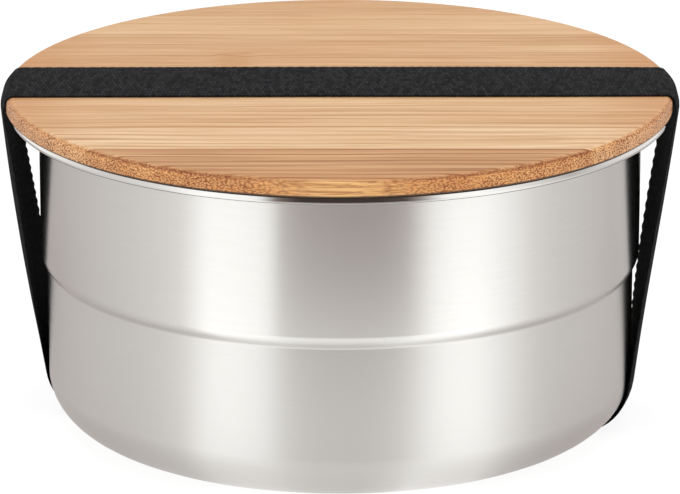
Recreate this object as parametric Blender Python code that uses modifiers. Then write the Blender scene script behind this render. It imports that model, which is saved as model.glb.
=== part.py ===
"""Round steel salad box with a bamboo lid, held shut by a woven elastic band.

Metres, +Z up. The box stands on z = 0, the band runs along X and the front is -Y.
"""

import math

import bmesh
import bpy
from mathutils import Matrix, Vector

# Bowl, one deep-drawn steel shell; its heights are measured from the base's underside
UPPER_RADIUS = 0.08125
STEP_DEPTH = 0.00165
STEP_HEIGHT = 0.0022
STEP_LEVEL = 0.0449
BOWL_HEIGHT = 0.08715
WALL = 0.0008
CORNER_RADIUS = 0.0132
STEP_ROUND = 0.0009
FLANGE_WIDTH = 0.00805
FLANGE_FILLET = 0.0022
RIM_BEAD = 0.0018
BEAD_ROUND = 0.0008
HEM_WIDTH = 0.0030
FOOT_WIDTH = 0.0060
BASE_KICK = 0.0016
KICK_SLOPE = 0.0045
KICK_ROUND = 0.0030

# Lid, a bamboo board glued up from slats and turned with a plug below
LID_OVERHANG = 0.0007
LID_EDGE = 0.0047
LID_TOP_ROUND = 0.0025
LID_BOTTOM_ROUND = 0.0006
LID_SEAT_GAP = 0.0003
PLUG_CLEARANCE = 0.0012
PLUG_DEPTH = 0.0065
PLUG_ROUND = 0.0010
SLAT_COUNT = 10
FRONT_SLAT = 0.0152
BACK_SLAT = 0.0167
CUTTER_REACH = 3.0

# Seal, a silicone ring in the plug's groove
GROOVE_DEPTH = 0.0018
GROOVE_HEIGHT = 0.0030
GROOVE_DROP = 0.0016
SEAL_FIT = 0.0003
SEAL_WALL_GAP = 0.0003
SEAL_LIP = 0.0012
SEAL_LIP_SHARE = 0.8

# Band, one strip of woven elastic with its ends butted and sewn under the base
BAND_WIDTH = 0.0275
BAND_THICKNESS = 0.0010
BAND_GAP = 0.0003
BAND_SPLIT = 0.0010
SEAM_GAP = 0.0003
FOOT_SHIFT_LEFT = 0.0105
FOOT_SHIFT_RIGHT = -0.003

# Facets of the turned pieces and of the arcs in their outlines
RING_STEPS = 60
BAND_ARC_STEPS = 20
ARC_SAG = 0.0001
FILLET_SHARE = 0.98
MERGE = 0.00001

# Levels and radii that follow from the sizes above
LOWER_RADIUS = UPPER_RADIUS - STEP_DEPTH
RIM_RADIUS = UPPER_RADIUS + FLANGE_WIDTH
LID_RADIUS = RIM_RADIUS + LID_OVERHANG
PLUG_RADIUS = UPPER_RADIUS - WALL - PLUG_CLEARANCE
BASE_LEVEL = BAND_THICKNESS + BAND_GAP
LID_LEVEL = BASE_LEVEL + BOWL_HEIGHT + LID_SEAT_GAP


def clear_scene():
    for obj in list(bpy.data.objects):
        bpy.data.objects.remove(obj, do_unlink=True)


def new_collection(name):
    collection = bpy.data.collections.new(name)
    bpy.context.scene.collection.children.link(collection)
    return collection


def new_material(name, colour, roughness, metallic=0.0):
    material = bpy.data.materials.new(name)
    material.use_nodes = True
    shader = material.node_tree.nodes["Principled BSDF"]
    shader.inputs["Base Color"].default_value = (*colour, 1.0)
    shader.inputs["Roughness"].default_value = roughness
    shader.inputs["Metallic"].default_value = metallic
    return material


def new_object(name, data, collection, parent=None):
    obj = bpy.data.objects.new(name, data)
    collection.objects.link(obj)
    obj.parent = parent
    return obj


def joint_frame(name, collection, location, parent=None):
    """An empty on a slide's axis, carrying the pieces that move with it."""
    empty = new_object(name, None, collection, parent)
    empty.empty_display_size = UPPER_RADIUS / 4
    empty.location = location
    return empty


def arc_step(radius):
    """The angle of a chord that lies within ARC_SAG of its arc."""
    return 2 * math.acos(1 - min(ARC_SAG / radius, 0.5))


def rounded(corners):
    """Points along an outline of (radius, height, fillet) corners, fillets as arcs.

    Two fillets that would meet on a short side shrink together until they fit on it.
    """
    places = [Vector(corner[:2]) for corner in corners]
    sides = [second - first for first, second in zip(places, places[1:])]
    turns = [0.0, *(first.angle(second) for first, second in zip(sides, sides[1:])), 0.0]
    reaches = [corner[2] * math.tan(turn / 2) for corner, turn in zip(corners, turns)]
    shares = [
        min(1.0, FILLET_SHARE * side.length / max(first + second, MERGE))
        for side, first, second in zip(sides, reaches, reaches[1:])
    ]
    points = [places[0]]
    for index in range(1, len(corners) - 1):
        back, ahead = -sides[index - 1].normalized(), sides[index].normalized()
        reach = reaches[index] * min(shares[index - 1], shares[index])
        if reach < MERGE:
            points.append(places[index])
            continue
        start = places[index] + back * reach
        radius = reach / math.tan(turns[index] / 2)
        middle = places[index] + (back + ahead).normalized() * math.hypot(reach, radius)
        side = 1 if back.cross(ahead) < 0 else -1
        count = max(2, math.ceil(turns[index] / arc_step(radius)))
        for step in range(count + 1):
            spin = Matrix.Rotation(side * turns[index] * step / count, 2)
            points.append(middle + spin @ (start - middle))
    points.append(places[-1])
    return points


def profile_mesh(name, points, closed=False):
    """A chain of edges in the XZ plane, for turning about Z."""
    work = bmesh.new()
    verts = [work.verts.new((point.x, 0.0, point.y)) for point in points]
    for first, second in zip(verts, verts[1:]):
        work.edges.new((first, second))
    if closed:
        work.edges.new((verts[-1], verts[0]))
    mesh = bpy.data.meshes.new(name)
    work.to_mesh(mesh)
    work.free()
    return mesh


def add_turning(obj):
    screw = obj.modifiers.new("turned", "SCREW")
    screw.axis = "Z"
    screw.steps = RING_STEPS
    screw.render_steps = RING_STEPS
    screw.use_merge_vertices = True
    screw.merge_threshold = MERGE
    screw.use_smooth_shade = True


def make_bowl(parts):
    """The outline goes up the inside from the base's middle, over the rim and down the outside."""
    lower_inside = LOWER_RADIUS - WALL
    upper_inside = UPPER_RADIUS - WALL
    step_low = STEP_LEVEL - STEP_HEIGHT / 2
    step_high = STEP_LEVEL + STEP_HEIGHT / 2
    step_shift = WALL * math.tan(math.atan2(STEP_DEPTH, STEP_HEIGHT) / 2)
    kick_outer = LOWER_RADIUS - CORNER_RADIUS - FOOT_WIDTH
    kick_inner = kick_outer - KICK_SLOPE
    flange_under = BOWL_HEIGHT - WALL
    bead_under = BOWL_HEIGHT - RIM_BEAD
    hem_edge = RIM_RADIUS - HEM_WIDTH
    outline = rounded([
        (0.0, BASE_KICK + WALL, 0.0),
        (kick_inner, BASE_KICK + WALL, KICK_ROUND),
        (kick_outer, WALL, KICK_ROUND),
        (lower_inside, WALL, CORNER_RADIUS - WALL),
        (lower_inside, step_low + step_shift, STEP_ROUND),
        (upper_inside, step_high + step_shift, STEP_ROUND),
        (upper_inside, BOWL_HEIGHT, FLANGE_FILLET + WALL),
        (RIM_RADIUS, BOWL_HEIGHT, BEAD_ROUND),
        (RIM_RADIUS, bead_under, BEAD_ROUND),
        (hem_edge, bead_under, 0.0),
        (hem_edge, flange_under, 0.0),
        (UPPER_RADIUS, flange_under, FLANGE_FILLET),
        (UPPER_RADIUS, step_high, STEP_ROUND),
        (LOWER_RADIUS, step_low, STEP_ROUND),
        (LOWER_RADIUS, 0.0, CORNER_RADIUS),
        (kick_outer, 0.0, KICK_ROUND),
        (kick_inner, BASE_KICK, KICK_ROUND),
        (0.0, BASE_KICK, 0.0),
    ])
    bowl = new_object("bowl", profile_mesh("bowl", outline), parts)
    bowl.location = (0.0, 0.0, BASE_LEVEL)
    bowl.data.materials.append(new_material("brushed_steel", (0.62, 0.61, 0.59), 0.32, 1.0))
    add_turning(bowl)


def slat_edges():
    """The y of each slat's edges, front first; turning leaves the outer two narrower."""
    first_joint = FRONT_SLAT - LID_RADIUS
    last_joint = LID_RADIUS - BACK_SLAT
    width = (last_joint - first_joint) / (SLAT_COUNT - 2)
    joints = [first_joint + width * count for count in range(SLAT_COUNT - 1)]
    past_rim = LID_RADIUS + width
    return [-past_rim, *joints, past_rim]


def slat_cutter(name, front, back, cutters, parent):
    """A block that keeps one slat's share of the turned board."""
    work = bmesh.new()
    bmesh.ops.create_cube(work, size=1.0)
    for vert in work.verts:
        vert.co.x *= CUTTER_REACH * LID_RADIUS
        vert.co.y = front if vert.co.y < 0 else back
        vert.co.z *= CUTTER_REACH * (LID_EDGE + PLUG_DEPTH)
    mesh = bpy.data.meshes.new(name)
    work.to_mesh(mesh)
    work.free()
    cutter = new_object(name, mesh, cutters, parent)
    cutter.hide_render = True
    cutter.display_type = "WIRE"
    return cutter


def make_lid(parts, cutters, carrier):
    """The board's outline runs from the top's middle to the plug's, past the seal's groove."""
    groove_bottom = PLUG_RADIUS - GROOVE_DEPTH
    groove_low = -GROOVE_DROP - GROOVE_HEIGHT
    outline = rounded([
        (0.0, LID_EDGE, 0.0),
        (LID_RADIUS, LID_EDGE, LID_TOP_ROUND),
        (LID_RADIUS, 0.0, LID_BOTTOM_ROUND),
        (PLUG_RADIUS, 0.0, 0.0),
        (PLUG_RADIUS, -GROOVE_DROP, 0.0),
        (groove_bottom, -GROOVE_DROP, 0.0),
        (groove_bottom, groove_low, 0.0),
        (PLUG_RADIUS, groove_low, 0.0),
        (PLUG_RADIUS, -PLUG_DEPTH, PLUG_ROUND),
        (0.0, -PLUG_DEPTH, 0.0),
    ])
    board = profile_mesh("lid_board", outline)
    board.materials.append(new_material("bamboo", (0.68, 0.45, 0.26), 0.5))
    edges = slat_edges()
    for number, (front, back) in enumerate(zip(edges, edges[1:]), start=1):
        slat = new_object(f"lid_slat_{number}", board, parts, carrier)
        add_turning(slat)
        keep = slat.modifiers.new("slat", "BOOLEAN")
        keep.operation = "INTERSECT"
        keep.object = slat_cutter(f"slat_{number}_keep", front, back, cutters, carrier)


def make_seal(parts, carrier):
    """The ring fills the groove and its rounded lip reaches almost to the bowl's wall."""
    root = PLUG_RADIUS - GROOVE_DEPTH + SEAL_FIT
    lip = UPPER_RADIUS - WALL - SEAL_WALL_GAP
    half = GROOVE_HEIGHT / 2 - SEAL_FIT
    lip_half = min(SEAL_LIP, half * SEAL_LIP_SHARE)
    outline = rounded([
        (root, half, 0.0),
        (PLUG_RADIUS, half, half - lip_half),
        (lip, lip_half / 2, lip_half),
        (lip, -lip_half / 2, lip_half),
        (PLUG_RADIUS, -half, half - lip_half),
        (root, -half, 0.0),
    ])
    seal = new_object("lid_seal", profile_mesh("lid_seal", outline, closed=True), parts, carrier)
    seal.location = (0.0, 0.0, -GROOVE_DROP - GROOVE_HEIGHT / 2)
    seal.data.materials.append(new_material("silicone", (0.75, 0.74, 0.71), 0.6))
    add_turning(seal)


def wrap(offset):
    """The band's right half in section, top to bottom: a tight hull round lid, rim and bowl."""
    bead = BASE_LEVEL + BOWL_HEIGHT - RIM_BEAD / 2
    rounds = [
        (LID_RADIUS - LID_TOP_ROUND, LID_LEVEL + LID_EDGE - LID_TOP_ROUND, LID_TOP_ROUND),
        (LID_RADIUS - LID_BOTTOM_ROUND, LID_LEVEL + LID_BOTTOM_ROUND, LID_BOTTOM_ROUND),
        (RIM_RADIUS - RIM_BEAD / 2, bead, RIM_BEAD / 2),
        (LOWER_RADIUS - CORNER_RADIUS, BASE_LEVEL + CORNER_RADIUS, CORNER_RADIUS),
    ]
    points = []
    for x, z, radius in rounds:
        reach = radius + offset
        for step in range(BAND_ARC_STEPS + 1):
            angle = math.pi / 2 - math.pi * step / BAND_ARC_STEPS
            points.append(Vector((x + reach * math.cos(angle), z + reach * math.sin(angle))))
    points.sort(key=lambda point: (-point.y, point.x))
    hull = []
    for point in points:
        while len(hull) > 1 and (hull[-1] - hull[-2]).cross(point - hull[-1]) > -MERGE * MERGE:
            hull.pop()
        hull.append(point)
    return hull


def split_wrap(offset):
    """The wrap above and below its split, a little way down the side run from the lid."""
    hull = wrap(offset)
    lengths = [(second - first).length for first, second in zip(hull, hull[1:])]
    run = lengths.index(max(lengths))
    down = (hull[run + 1] - hull[run]).normalized()
    above = hull[:run + 1] + [hull[run] + down * BAND_SPLIT]
    below = [hull[run] + down * (BAND_SPLIT + BAND_GAP)] + hull[run + 1:]
    return above, below


def mirrored(points):
    return [Vector((-point.x, point.y)) for point in points]


def foot_shift(x, z):
    """How far the band has crept along Y: none at the lid, all of it below the bowl's corner."""
    _, below = split_wrap(BAND_GAP)
    high = below[0].y
    low = below[1].y
    foot = below[1].x
    share = min(max((high - z) / (high - low), 0.0), 1.0)
    across = min(max(x / foot, -1.0), 1.0)
    middle = (FOOT_SHIFT_RIGHT + FOOT_SHIFT_LEFT) / 2
    return share * (middle + across * (FOOT_SHIFT_RIGHT - FOOT_SHIFT_LEFT) / 2)


def strip(name, outline, material, parts, carrier):
    """A length of band: its section as a filled flat curve, widened along Y and crept sideways."""
    curve = bpy.data.curves.new(name, "CURVE")
    curve.dimensions = "2D"
    curve.fill_mode = "BOTH"
    curve.extrude = BAND_WIDTH / 2
    spline = curve.splines.new("POLY")
    spline.points.add(len(outline) - 1)
    for place, point in zip(spline.points, outline):
        place.co = (point.x, point.y, 0.0, 1.0)
    spline.use_cyclic_u = True
    flat = new_object(name, curve, parts)
    bpy.context.view_layer.update()
    mesh = bpy.data.meshes.new_from_object(flat.evaluated_get(bpy.context.evaluated_depsgraph_get()))
    bpy.data.objects.remove(flat, do_unlink=True)
    bpy.data.curves.remove(curve)
    work = bmesh.new()
    work.from_mesh(mesh)
    bmesh.ops.remove_doubles(work, verts=work.verts, dist=MERGE)
    bmesh.ops.rotate(work, verts=work.verts, matrix=Matrix.Rotation(math.pi / 2, 3, "X"))
    for vert in work.verts:
        vert.co.y += foot_shift(vert.co.x, vert.co.z)
    bmesh.ops.recalc_face_normals(work, faces=work.faces)
    work.to_mesh(mesh)
    work.free()
    mesh.materials.clear()
    mesh.materials.append(material)
    mesh.name = name
    new_object(name, mesh, parts, carrier)


def make_band(parts, slip, stretch):
    """Three lengths of one strip: over the lid, and down each side to the seam under the base."""
    elastic = new_material("elastic", (0.016, 0.016, 0.017), 0.85)
    inner_above, inner_below = split_wrap(BAND_GAP)
    outer_above, outer_below = split_wrap(BAND_GAP + BAND_THICKNESS)
    over = mirrored(outer_above)[::-1] + outer_above
    under = mirrored(inner_above)[::-1] + inner_above
    strip("band_top", over + under[::-1], elastic, parts, stretch)

    seam = SEAM_GAP / 2
    cut_end = [Vector((seam, 0.0)), Vector((seam, BAND_THICKNESS))]
    side = outer_below + cut_end + inner_below[::-1]
    strip("band_left", mirrored(side), elastic, parts, slip)
    strip("band_right", side, elastic, parts, slip)


clear_scene()
lunch_box = new_collection("salad_lunch_box")
cutting = new_collection("cutters")
make_bowl(lunch_box)
lid_lift = joint_frame("lid_lift_axis", lunch_box, (0.0, 0.0, LID_LEVEL))
make_lid(lunch_box, cutting, lid_lift)
make_seal(lunch_box, lid_lift)
band_slip = joint_frame("band_slip_axis", lunch_box, (0.0, 0.0, 0.0))
band_stretch = joint_frame("band_stretch_axis", lunch_box, (0.0, 0.0, 0.0), band_slip)
make_band(lunch_box, band_slip, band_stretch)
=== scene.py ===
# Salad lunch box: a brushed steel bowl, a bamboo lid and an elastic band round both.
# Metres, +Z up. The band runs along X and the front is -Y.
import math

import bmesh
import bpy
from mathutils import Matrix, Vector


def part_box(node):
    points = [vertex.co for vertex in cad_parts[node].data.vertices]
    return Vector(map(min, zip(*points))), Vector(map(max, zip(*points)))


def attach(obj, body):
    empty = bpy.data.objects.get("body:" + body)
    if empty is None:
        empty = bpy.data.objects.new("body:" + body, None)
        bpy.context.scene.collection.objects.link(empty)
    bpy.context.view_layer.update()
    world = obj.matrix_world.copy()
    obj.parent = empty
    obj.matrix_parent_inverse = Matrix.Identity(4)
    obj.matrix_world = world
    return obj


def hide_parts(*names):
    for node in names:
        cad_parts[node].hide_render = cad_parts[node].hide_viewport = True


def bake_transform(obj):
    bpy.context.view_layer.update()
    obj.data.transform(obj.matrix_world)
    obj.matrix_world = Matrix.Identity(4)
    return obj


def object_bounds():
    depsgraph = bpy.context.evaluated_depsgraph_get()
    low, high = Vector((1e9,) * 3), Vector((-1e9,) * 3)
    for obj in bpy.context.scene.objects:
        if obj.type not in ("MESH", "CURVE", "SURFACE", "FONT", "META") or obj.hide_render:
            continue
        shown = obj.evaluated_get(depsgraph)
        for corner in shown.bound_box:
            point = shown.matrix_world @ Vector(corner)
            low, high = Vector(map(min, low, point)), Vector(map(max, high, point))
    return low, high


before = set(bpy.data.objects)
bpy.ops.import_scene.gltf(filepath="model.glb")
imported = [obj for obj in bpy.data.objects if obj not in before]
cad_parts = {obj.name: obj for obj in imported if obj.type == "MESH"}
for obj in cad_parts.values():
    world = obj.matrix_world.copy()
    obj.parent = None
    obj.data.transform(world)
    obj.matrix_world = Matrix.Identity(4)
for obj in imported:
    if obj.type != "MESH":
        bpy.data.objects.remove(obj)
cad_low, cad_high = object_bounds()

# Bowl
# One cup of stainless steel, deep drawn with a step half way up and a flange that is hemmed
# into a bead at its edge. It was brushed while it turned, so the scratches run round the wall.
bowl_low, bowl_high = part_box("bowl")
bowl_base = bowl_low[2]
bowl_rim = bowl_high[2]
flange_trim = 0.0003
rim_radius = bowl_high[0] - flange_trim
upper_radius = 0.08125
lower_radius = 0.0796
bowl_wall = 0.0008
step_level = bowl_base + 0.0449
step_rise = 0.0022
shoulder_round = 0.004
fold_round = 0.0012
bead_height = 0.0019
bead_lean = 0.00045
bead_face = 0.00115
hem_width = 0.003
corner_round = 0.0132
foot_radius = 0.0604
kick_slope = 0.0045
kick_rise = 0.0016
kick_round = 0.003
mouth_round = 0.003
flange_round = 0.0022
bead_rounds = (0.0005, 0.0008, 0.0004)
hem_rounds = (0.0002, 0.0001)


def pull_outline(name, corners):
    """Pulls one vertex along a half section, then rounds each corner to its own radius."""
    face_degrees, fewest_faces = 7.5, 3
    bpy.ops.object.select_all(action="DESELECT")
    bpy.ops.mesh.primitive_plane_add(size=0.001)
    piece = bpy.context.object
    piece.name = name
    bpy.ops.object.mode_set(mode="EDIT")
    bpy.ops.mesh.merge(type="CENTER")
    places = [Vector((radius, 0.0, height)) for radius, height, _ in corners]
    bpy.ops.transform.translate(value=places[0])
    for here, there in zip(places, places[1:]):
        bpy.ops.mesh.extrude_region_move(TRANSFORM_OT_translate={"value": there - here})
    for index in range(1, len(places) - 1):
        rounding = corners[index][2]
        if not rounding:
            continue
        back = places[index - 1] - places[index]
        ahead = places[index + 1] - places[index]
        turn = math.pi - back.angle(ahead)
        select_near(piece, places[index])
        bpy.ops.mesh.bevel(
            offset=rounding * math.tan(turn / 2),
            offset_type="OFFSET",
            segments=max(fewest_faces, round(math.degrees(turn) / face_degrees)),
            affect="VERTICES",
        )
    bpy.ops.object.mode_set(mode="OBJECT")
    return piece


def select_near(piece, place):
    """Selects the one vertex of a piece in edit mode that lies nearest to a place."""
    bpy.ops.mesh.select_all(action="DESELECT")
    work = bmesh.from_edit_mesh(piece.data)
    nearest = min(work.verts, key=lambda vert: (vert.co - place).length)
    nearest.select = True
    work.select_flush_mode()
    bmesh.update_edit_mesh(piece.data)


def turn_outline(piece, steps):
    """Spins a half section once round Z and evens out its shading."""
    bpy.ops.object.mode_set(mode="EDIT")
    bpy.ops.mesh.select_all(action="SELECT")
    bpy.ops.mesh.spin(steps=steps, angle=2 * math.pi, center=(0, 0, 0), axis=(0, 0, 1))
    bpy.ops.mesh.select_all(action="SELECT")
    bpy.ops.mesh.remove_doubles(threshold=0.000002)
    bpy.ops.mesh.normals_make_consistent(inside=False)
    bpy.ops.object.mode_set(mode="OBJECT")
    bpy.ops.object.shade_smooth_by_angle(angle=math.radians(35))
    even = piece.modifiers.new("even_normals", "WEIGHTED_NORMAL")
    even.keep_sharp = True
    bpy.ops.object.modifier_apply(modifier=even.name)


kick_radius = foot_radius - kick_slope
upper_inside = upper_radius - bowl_wall
lower_inside = lower_radius - bowl_wall
step_shift = bowl_wall * math.tan(math.atan2(upper_radius - lower_radius, step_rise) / 2)
bowl = pull_outline("bowl_shell", [
    (0.0, bowl_base + kick_rise + bowl_wall, 0),
    (kick_radius, bowl_base + kick_rise + bowl_wall, kick_round),
    (foot_radius, bowl_base + bowl_wall, kick_round),
    (lower_inside, bowl_base + bowl_wall, corner_round - bowl_wall),
    (lower_inside, step_level - step_rise / 2 + step_shift, fold_round),
    (upper_inside, step_level + step_rise / 2 + step_shift, shoulder_round),
    (upper_inside, bowl_rim, mouth_round),
    (rim_radius - bead_lean, bowl_rim, bead_rounds[0]),
    (rim_radius, bowl_rim - bead_face, bead_rounds[1]),
    (rim_radius, bowl_rim - bead_height, bead_rounds[2]),
    (rim_radius - hem_width, bowl_rim - bead_height, hem_rounds[0]),
    (rim_radius - hem_width, bowl_rim - bowl_wall, hem_rounds[1]),
    (upper_radius, bowl_rim - bowl_wall, flange_round),
    (upper_radius, step_level + step_rise / 2, shoulder_round),
    (lower_radius, step_level - step_rise / 2, fold_round),
    (lower_radius, bowl_base, corner_round),
    (foot_radius, bowl_base, kick_round),
    (kick_radius, bowl_base + kick_rise, kick_round),
    (0.0, bowl_base + kick_rise, 0),
])
turn_outline(bowl, steps=240)


def linear(code):
    """An sRGB hex colour as linear RGBA."""
    channels = [int(code[place:place + 2], 16) / 255 for place in (1, 3, 5)]
    bent = [c / 12.92 if c <= 0.04045 else ((c + 0.055) / 1.055) ** 2.4 for c in channels]
    return (*bent, 1.0)


def add_node(tree, kind, settings=None, inputs=None):
    """Adds a node with its settings, and sets or links its inputs by name or number."""
    made = tree.nodes.new(kind)
    for key, value in (settings or {}).items():
        setattr(made, key, value)
    for key, value in (inputs or {}).items():
        if isinstance(value, bpy.types.NodeSocket):
            tree.links.new(value, made.inputs[key])
        else:
            made.inputs[key].default_value = value
    return made


def new_finish(name):
    """A new material, its tree and its shader."""
    finish = bpy.data.materials.new(name)
    finish.use_nodes = True
    return finish, finish.node_tree, finish.node_tree.nodes["Principled BSDF"]


# Settings that many nodes share
times = {"operation": "MULTIPLY"}
times_plus = {"operation": "MULTIPLY_ADD"}
eased = {"interpolation_type": "SMOOTHSTEP"}
in_colour = {"data_type": "RGBA"}

# Brushed stainless steel: the scratches run round the axis, so reflections stay sharp from side to
# side and smear up and down. The fine lines vary the gloss and the tone a little. Below the step the
# steel is duller.
brushed_steel, tree, shader = new_finish("brushed_stainless_steel")
brush_spacing = 0.0005      # real scratches are finer; this is the least that still shows
brush_sweep = 9.0           # how often the tone changes on the way round
lower_roughness = 0.38
upper_roughness = 0.25
bead_roughness = 0.12
bead_blend = 0.0003
fold_shadow_band = (0.00015, 0.0004)
fold_shading = 0.7
grain_low, grain_high = 0.25, 0.75
place = add_node(tree, "ShaderNodeTexCoord").outputs["Object"]
flat = add_node(tree, "ShaderNodeVectorMath", times, {0: place, 1: (1, 1, 0)})
away = add_node(tree, "ShaderNodeVectorMath", {"operation": "LENGTH"}, {0: flat.outputs[0]})
around = add_node(tree, "ShaderNodeVectorMath", {"operation": "NORMALIZE"}, {0: flat.outputs[0]})
height = add_node(tree, "ShaderNodeSeparateXYZ", None, {0: place}).outputs["Z"]
along = add_node(tree, "ShaderNodeMath", {"operation": "ADD"}, {0: away.outputs["Value"], 1: height})
lines = add_node(tree, "ShaderNodeMath", {"operation": "DIVIDE"}, {0: along.outputs[0], 1: brush_spacing})
sweep = add_node(tree, "ShaderNodeVectorMath", {"operation": "SCALE"}, {
    0: around.outputs[0], "Scale": brush_sweep,
})
lift = add_node(tree, "ShaderNodeCombineXYZ", None, {"Z": lines.outputs[0]})
scratch = add_node(tree, "ShaderNodeVectorMath", {"operation": "ADD"}, {
    0: sweep.outputs[0], 1: lift.outputs[0],
})
grain = add_node(tree, "ShaderNodeTexNoise", None, {
    "Vector": scratch.outputs[0], "Scale": 1.0, "Detail": 3.0, "Roughness": 0.6,
})
tone = add_node(tree, "ShaderNodeValToRGB", None, {"Fac": grain.outputs["Fac"]})
tone.color_ramp.elements[0].position = grain_low
tone.color_ramp.elements[0].color = linear("#d1cec9")
tone.color_ramp.elements[1].position = grain_high
tone.color_ramp.elements[1].color = linear("#d4d1cc")
upper = add_node(tree, "ShaderNodeMapRange", eased, {
    "Value": height, "From Min": step_level - step_rise, "From Max": step_level + step_rise,
})
matt = add_node(tree, "ShaderNodeMapRange", None, {
    "Value": upper.outputs[0], "To Min": lower_roughness, "To Max": upper_roughness,
})
uneven = add_node(tree, "ShaderNodeMapRange", None, {
    "Value": grain.outputs["Fac"], "From Min": grain_low, "From Max": grain_high,
    "To Min": 0.985, "To Max": 1.015,
})
brushed = add_node(tree, "ShaderNodeMath", times, {0: matt.outputs[0], 1: uneven.outputs[0]})
relief = add_node(tree, "ShaderNodeBump", None, {
    "Strength": 0.012, "Distance": 0.00001, "Height": grain.outputs["Fac"],
})

# The rolled bead is polished, and a painted shadow darkens a thin line in the fold under it
bead_low = bowl_rim - bead_height
on_bead = add_node(tree, "ShaderNodeMapRange", None, {
    "Value": height, "From Min": bead_low - bead_blend, "From Max": bead_low,
})
gloss = add_node(tree, "ShaderNodeMix", {"data_type": "FLOAT"}, {
    0: on_bead.outputs[0], 2: brushed.outputs[0], 3: bead_roughness,
})
# Painted shadow: the steel's colour is darkened along the lower edge of the bead
fold_shadow = add_node(tree, "ShaderNodeMapRange", eased, {
    "Value": height, "From Min": bead_low + fold_shadow_band[0], "From Max": bead_low + fold_shadow_band[1],
    "To Min": 1.0, "To Max": 0.0,
})
outside = add_node(tree, "ShaderNodeMath", {"operation": "GREATER_THAN"}, {
    0: away.outputs["Value"], 1: rim_radius - hem_width,
})
fold_shadow_outside = add_node(tree, "ShaderNodeMath", times, {0: fold_shadow.outputs[0], 1: outside.outputs[0]})
fold_shade = add_node(tree, "ShaderNodeMath", times_plus, {
    0: fold_shadow_outside.outputs[0], 1: -fold_shading, 2: 1.0,
})
shaded = add_node(tree, "ShaderNodeVectorMath", {"operation": "SCALE"}, {
    0: tone.outputs["Color"], "Scale": fold_shade.outputs[0],
})
circle = add_node(tree, "ShaderNodeTangent", {"direction_type": "RADIAL", "axis": "Z"})
tree.links.new(shaded.outputs[0], shader.inputs["Base Color"])
tree.links.new(gloss.outputs[0], shader.inputs["Roughness"])
tree.links.new(relief.outputs["Normal"], shader.inputs["Normal"])
tree.links.new(circle.outputs["Tangent"], shader.inputs["Tangent"])
shader.inputs["Metallic"].default_value = 1.0
shader.inputs["Anisotropic"].default_value = 0.85
shader.inputs["Anisotropic Rotation"].default_value = 0.25
bowl.data.materials.append(brushed_steel)
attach(bowl, "bowl")
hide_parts("bowl")

# Lid
# A bamboo board glued up from slats, then turned: a softly rounded rim that overhangs the flange,
# and a plug below it with a groove for the seal. Sanded and oiled, so the end grain is darker.
slat_names = [f"lid_slat_{number}" for number in range(1, 11)]
slat_boxes = [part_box(name) for name in slat_names]
lid_radius = max(high[0] for _, high in slat_boxes)
lid_top = max(high[2] for _, high in slat_boxes)
plug_bottom = min(low[2] for low, _ in slat_boxes)
lid_edge = 0.0047
lid_round = 0.0019
lid_shift = -0.0002
lid_under = lid_top - lid_edge
under_round = 0.0006
plug_gap = 0.0012
plug_radius = upper_inside - plug_gap
plug_round = 0.001
groove_drop = 0.0016
groove_top = lid_under - groove_drop
groove_height = 0.003
groove_depth = 0.0018
groove_round = 0.0002
lid = pull_outline("lid_board", [
    (0.0, lid_top, 0),
    (lid_radius, lid_top, lid_round),
    (lid_radius, lid_under, under_round),
    (plug_radius, lid_under, groove_round),
    (plug_radius, groove_top, groove_round),
    (plug_radius - groove_depth, groove_top, 0),
    (plug_radius - groove_depth, groove_top - groove_height, 0),
    (plug_radius, groove_top - groove_height, groove_round),
    (plug_radius, plug_bottom, plug_round),
    (0.0, plug_bottom, 0),
])
turn_outline(lid, steps=240)
bpy.ops.object.mode_set(mode="EDIT")
bpy.ops.mesh.select_all(action="SELECT")
bpy.ops.transform.translate(value=(lid_shift, 0, 0))
bpy.ops.object.mode_set(mode="OBJECT")

# Oiled bamboo: fibre bundles run along X through every slat, so one pattern in Y and Z shows as
# streaks on the top and as brown dots on the end grain. Each slat differs a little in tone. The
# bundles on the top are drawn about half as large again as real ones, so that they show.
bamboo, tree, shader = new_finish("oiled_bamboo")
first_joint_mm = -80.3      # the glue joints as they show on this board, from the front
slat_width_mm = 18.74
bundle_mm = 0.9
rim_dot_mm = (0.66, 0.43)
front_streak_mm = 20.0
front_stretch = 0.94
growth_line_mm = 3.6
line_sway = 9.0
wander_mm = 2.2
knuckle_slat = 5
knuckle_x_mm = -29.0
knuckle_lean = 0.35
knuckle_reach_mm = (2.0, 7.0)
warm_end_mm = (62.0, 88.0)
painted_seam_shadow_mm = (0.28, 0.75)
noise_low, noise_high = 0.35, 0.65
slats_apart_mm = 300.0      # moves each slat's pattern to a place of its own

# How often each pattern turns from light to dark in a millimetre along X, Y and Z
wander_per_mm = (0.02, 5.3, 0.02)
drift_per_mm = (0.006, 0.13, 0.0)
fade_per_mm = (0.014, 0.4, 0.0)
fine_per_mm = (0.03, 0.9, 1.6)
broad_per_mm = (0.008, 0.22, 0.22)
rim_patch_per_mm = (0.16, 0.2, 0.0)
rim_speck_per_mm = (1.3, 1.7, 0.0)

# Front to back: how much darker and redder each slat is, and how strongly its grain lines show
slat_warmth = (1.05, 0.74, -0.64, -0.22, -0.1, 0.0, 0.3, 0.06, -0.16, 0.16)
slat_lines = (1.2, 1.3, 0.8, 0.72, 0.6, 0.5, 0.45, 0.45, 0.12, 0.3)
warm_pull = (0.2, 0.36, 0.54)
coordinates = add_node(tree, "ShaderNodeTexCoord")
mm = add_node(tree, "ShaderNodeVectorMath", {"operation": "SCALE"}, {
    0: coordinates.outputs["Object"], "Scale": 1000.0,
})
axes = add_node(tree, "ShaderNodeSeparateXYZ", None, {0: mm.outputs[0]})
slat = add_node(tree, "ShaderNodeMapRange", {"clamp": False}, {
    "Value": axes.outputs["Y"], "From Min": first_joint_mm, "From Max": first_joint_mm + slat_width_mm,
})
slat_number = add_node(tree, "ShaderNodeMath", {"operation": "FLOOR"}, {0: slat.outputs[0]})
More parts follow.
